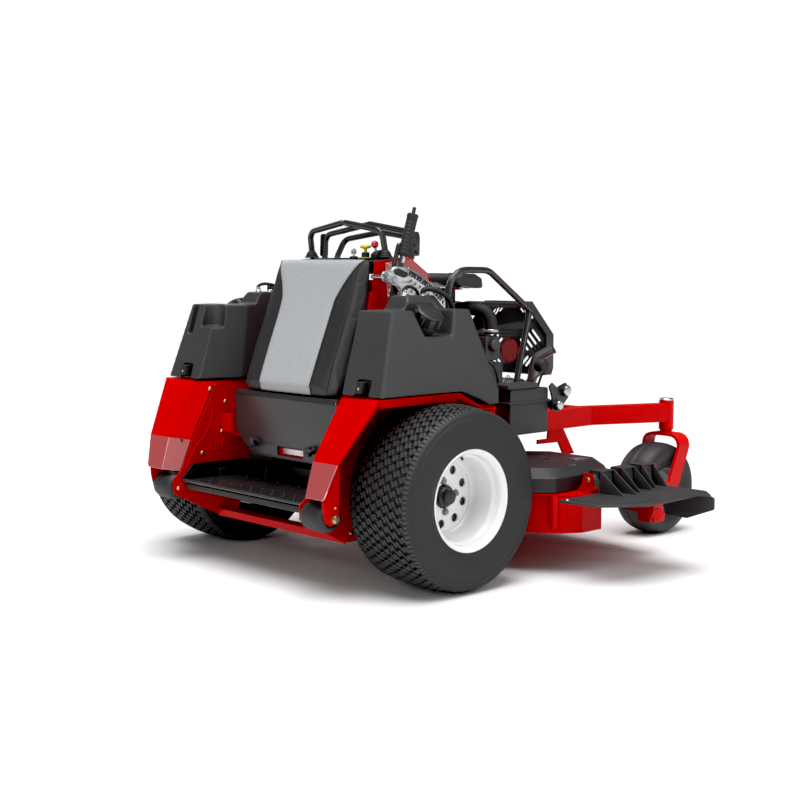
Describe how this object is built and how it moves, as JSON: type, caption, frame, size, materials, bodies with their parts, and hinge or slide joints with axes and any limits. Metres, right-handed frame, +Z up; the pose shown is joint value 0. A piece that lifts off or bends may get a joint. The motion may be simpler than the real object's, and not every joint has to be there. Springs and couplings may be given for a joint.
{
  "type": "stand-on zero turn mower",
  "caption": "Stand-on zero turn mower: rear drive wheels, front casters on angled arms, side-discharge cutting deck, folding foot platform and hand levers.",
  "frame": {"origin": "centre of the machine's overall box, at ground level", "axes": "+X to the operator's right, +Y forward towards the casters, +Z up"},
  "size_m": [1.834, 1.8946, 1.2524],
  "materials": {
    "red_paint": "gloss powder coat",
    "black_paint": "satin powder coat",
    "red_disc": "gloss",
    "white_paint": "gloss",
    "hub_black": "satin",
    "tank_plastic": "rotationally moulded, fine grain",
    "cover_plastic": "moulded, fine grain",
    "black_plastic": "satin",
    "lever_rubber": "ribbed grip on a steel arm",
    "drive_tyre": "turf tread rubber",
    "caster_tyre": "smooth rubber",
    "roller_rubber": "moulded rubber",
    "cushion_vinyl": "foam under grey and black vinyl",
    "zinc": "galvanised",
    "blade_steel": "bare ground steel",
    "engine_metal": "cast",
    "muffler_steel": "heat-darkened",
    "yellow_plastic": "gloss",
    "red_plastic": "gloss"
  },
  "bodies": {
    "chassis": {"main_frame": "red_paint", "side_plate_right": "red_paint", "side_plate_left": "red_paint", "lower_crossmember": "red_paint", "fender_right": "red_paint", "fender_left": "red_paint", "hydro_unit_right": "engine_metal", "hydro_unit_left": "engine_metal", "rear_cover": "black_paint", "thigh_cushion": "cushion_vinyl", "console": "red_paint", "dash_panel": "black_paint", "reference_bar_rear": "black_paint", "reference_bar_front": "black_paint", "height_sector_plate": "zinc", "tank_right": "tank_plastic", "tank_left": "tank_plastic", "engine": "engine_metal", "air_cleaner": "cover_plastic", "muffler": "muffler_steel", "engine_guard": "black_paint", "guard_plate": "black_paint", "guard_disc": "red_disc", "battery_box": "cover_plastic", "caster_arm_right": "red_paint", "caster_arm_left": "red_paint"},
    "foot_platform": {"foot_platform": "black_paint"},
    "pto": {"pto_knob": "yellow_plastic"},
    "throttle": {"throttle_lever": "red_plastic"},
    "key": {"ignition_key": "zinc"},
    "height_lever": {"deck_height_lever": "lever_rubber"},
    "lever_button": {"lever_button": "black_plastic"},
    "lift_shaft": {"deck_lift_shaft": "black_paint"},
    "deck": {"deck_shell": "red_paint", "belt_cover_right": "cover_plastic", "belt_cover_left": "cover_plastic"},
    "chute": {"discharge_chute": "roller_rubber"},
    "drive_wheel_right": {"drive_tyre_right": "drive_tyre", "drive_rim_right": "white_paint", "drive_hub_right": "hub_black"},
    "roller_right": {"rear_roller_right": "roller_rubber"},
    "knob_right": {"cover_knob_right": "black_plastic"},
    "drive_lever_right": {"drive_lever_right": "black_paint"},
    "caster_fork_right": {"caster_fork_right": "red_paint"},
    "caster_wheel_right": {"caster_tyre_right": "caster_tyre", "caster_rim_right": "engine_metal"},
    "fuel_cap_right": {"fuel_cap_right": "black_plastic"},
    "drive_wheel_left": {"drive_tyre_left": "drive_tyre", "drive_rim_left": "white_paint", "drive_hub_left": "hub_black"},
    "roller_left": {"rear_roller_left": "roller_rubber"},
    "knob_left": {"cover_knob_left": "black_plastic"},
    "drive_lever_left": {"drive_lever_left": "black_paint"},
    "caster_fork_left": {"caster_fork_left": "red_paint"},
    "caster_wheel_left": {"caster_tyre_left": "caster_tyre", "caster_rim_left": "engine_metal"},
    "fuel_cap_left": {"fuel_cap_left": "black_plastic"},
    "spindle_right": {"spindle_blade_right": "blade_steel"},
    "spindle_center": {"spindle_blade_center": "blade_steel"},
    "spindle_left": {"spindle_blade_left": "blade_steel"}
  },
  "joints": [
    {"name": "drive_wheel_right_spin", "type": "hinge", "parent": "chassis", "child": "drive_wheel_right", "pos_m": [0.4225, -0.508, 0.305], "axis": [1, 0, 0], "continuous": true},
    {"name": "roller_right_spin", "type": "hinge", "parent": "chassis", "child": "roller_right", "pos_m": [0.269, -0.899, 0.265], "axis": [1, 0, 0], "continuous": true},
    {"name": "knob_right_turn", "type": "hinge", "parent": "chassis", "child": "knob_right", "pos_m": [0.003, -0.723, 0.43], "axis": [0, 1, 0], "continuous": true},
    {"name": "drive_lever_right_swing", "type": "hinge", "parent": "chassis", "child": "drive_lever_right", "pos_m": [0.046, -0.413, 1], "axis": [-1, 0, 0], "range_deg": [-12, 12], "stiffness_Nm_per_rad": 40},
    {"name": "caster_right_swivel", "type": "hinge", "parent": "chassis", "child": "caster_fork_right", "pos_m": [0.314, 0.84, 0.46], "axis": [0, 0, 1], "continuous": true},
    {"name": "caster_wheel_right_spin", "type": "hinge", "parent": "caster_fork_right", "child": "caster_wheel_right", "pos_m": [0.314, 0.769, 0.1794], "axis": [1, 0, 0], "continuous": true},
    {"name": "fuel_cap_right_turn", "type": "hinge", "parent": "chassis", "child": "fuel_cap_right", "pos_m": [0.353, -0.523, 0.87], "axis": [0.5878, 0, 0.809], "continuous": true},
    {"name": "drive_wheel_left_spin", "type": "hinge", "parent": "chassis", "child": "drive_wheel_left", "pos_m": [-0.7325, -0.508, 0.305], "axis": [1, 0, 0], "continuous": true},
    {"name": "roller_left_spin", "type": "hinge", "parent": "chassis", "child": "roller_left", "pos_m": [-0.579, -0.899, 0.265], "axis": [1, 0, 0], "continuous": true},
    {"name": "knob_left_turn", "type": "hinge", "parent": "chassis", "child": "knob_left", "pos_m": [-0.313, -0.723, 0.43], "axis": [0, 1, 0], "continuous": true},
    {"name": "drive_lever_left_swing", "type": "hinge", "parent": "chassis", "child": "drive_lever_left", "pos_m": [-0.356, -0.413, 1], "axis": [-1, 0, 0], "range_deg": [-12, 12], "stiffness_Nm_per_rad": 40},
    {"name": "caster_left_swivel", "type": "hinge", "parent": "chassis", "child": "caster_fork_left", "pos_m": [-0.624, 0.84, 0.46], "axis": [0, 0, 1], "continuous": true},
    {"name": "caster_wheel_left_spin", "type": "hinge", "parent": "caster_fork_left", "child": "caster_wheel_left", "pos_m": [-0.624, 0.769, 0.1794], "axis": [1, 0, 0], "continuous": true},
    {"name": "fuel_cap_left_turn", "type": "hinge", "parent": "chassis", "child": "fuel_cap_left", "pos_m": [-0.663, -0.523, 0.87], "axis": [-0.5878, 0, 0.809], "continuous": true},
    {"name": "platform_fold", "type": "hinge", "parent": "chassis", "child": "foot_platform", "pos_m": [-0.155, -0.733, 0.306], "axis": [-1, 0, 0], "range_deg": [0, 80]},
    {"name": "pto_pull", "type": "slide", "parent": "chassis", "child": "pto", "axis": [0, 0, 1], "range_m": [0, 0.018]},
    {"name": "throttle_swing", "type": "hinge", "parent": "chassis", "child": "throttle", "pos_m": [0.023, -0.428, 1.07], "axis": [-1, 0, 0], "range_deg": [-12, 12]},
    {"name": "key_turn", "type": "hinge", "parent": "chassis", "child": "key", "pos_m": [-0.093, -0.444, 1.09], "axis": [0, 0, -1], "range_deg": [0, 80]},
    {"name": "height_lever_swing", "type": "hinge", "parent": "chassis", "child": "height_lever", "pos_m": [0.155, -0.608, 0.548], "axis": [-1, 0, 0], "range_deg": [0, 20]},
    {"name": "button_press", "type": "slide", "parent": "height_lever", "child": "lever_button", "axis": [0, -0.3035, -0.9528], "range_m": [0, 0.008], "stiffness_N_per_m": 600},
    {"name": "lift_shaft_turn", "type": "hinge", "parent": "chassis", "child": "lift_shaft", "pos_m": [-0.155, 0.197, 0.545], "axis": [-1, 0, 0], "range_deg": [0, 40]},
    {"name": "deck_lift", "type": "slide", "parent": "chassis", "child": "deck", "axis": [0, 0, 1], "range_m": [-0.09, 0]},
    {"name": "spindle_right_spin", "type": "hinge", "parent": "deck", "child": "spindle_right", "pos_m": [0.335, 0.092, 0.24], "axis": [0, 0, 1], "continuous": true},
    {"name": "spindle_center_spin", "type": "hinge", "parent": "deck", "child": "spindle_center", "pos_m": [-0.155, 0.217, 0.24], "axis": [0, 0, 1], "continuous": true},
    {"name": "spindle_left_spin", "type": "hinge", "parent": "deck", "child": "spindle_left", "pos_m": [-0.645, 0.092, 0.24], "axis": [0, 0, 1], "continuous": true},
    {"name": "chute_swing", "type": "hinge", "parent": "deck", "child": "chute", "pos_m": [0.605, 0.192, 0.325], "axis": [0, -1, 0], "range_deg": [0, 85]}
  ],
  "couplings": [
    {"joint": "height_lever_swing", "follows": "deck_lift", "rad_per_m": -3.87},
    {"joint": "lift_shaft_turn", "follows": "deck_lift", "rad_per_m": -7.7},
    {"joint": "spindle_right_spin", "follows": "spindle_center_spin", "ratio": 1},
    {"joint": "spindle_left_spin", "follows": "spindle_center_spin", "ratio": 1}
  ]
}
